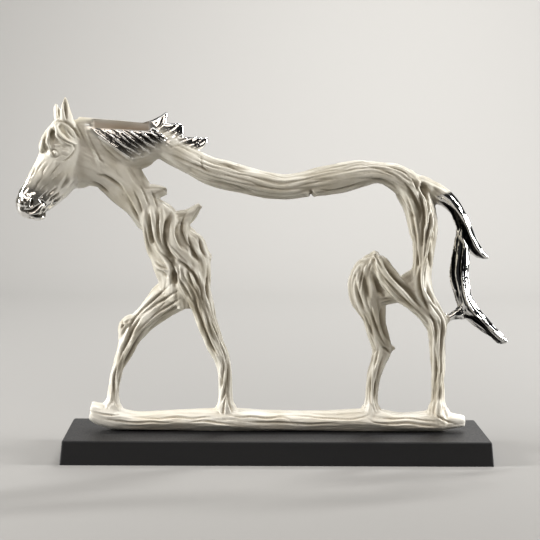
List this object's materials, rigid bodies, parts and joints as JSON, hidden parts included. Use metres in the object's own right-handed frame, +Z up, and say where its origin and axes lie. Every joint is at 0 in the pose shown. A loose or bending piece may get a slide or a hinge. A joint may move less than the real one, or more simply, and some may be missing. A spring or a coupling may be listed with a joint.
{
  "type": "horse sculpture",
  "caption": "Walking horse sculpture in driftwood style, cream resin with chrome muzzle, mane and tail, on a low black plinth.",
  "frame": {"origin": "centre of the plinth's underside", "axes": "+Z up, the horse faces -X, +Y towards its right side"},
  "size_m": [0.5832, 0.13, 0.4234],
  "materials": {
    "cream_resin": "cast resin, satin, with chrome plated muzzle, mane and tail",
    "black_plinth": "satin black"
  },
  "bodies": {
    "root": {"horse": "cream_resin", "plinth": "black_plinth"}
  },
  "joints": []
}
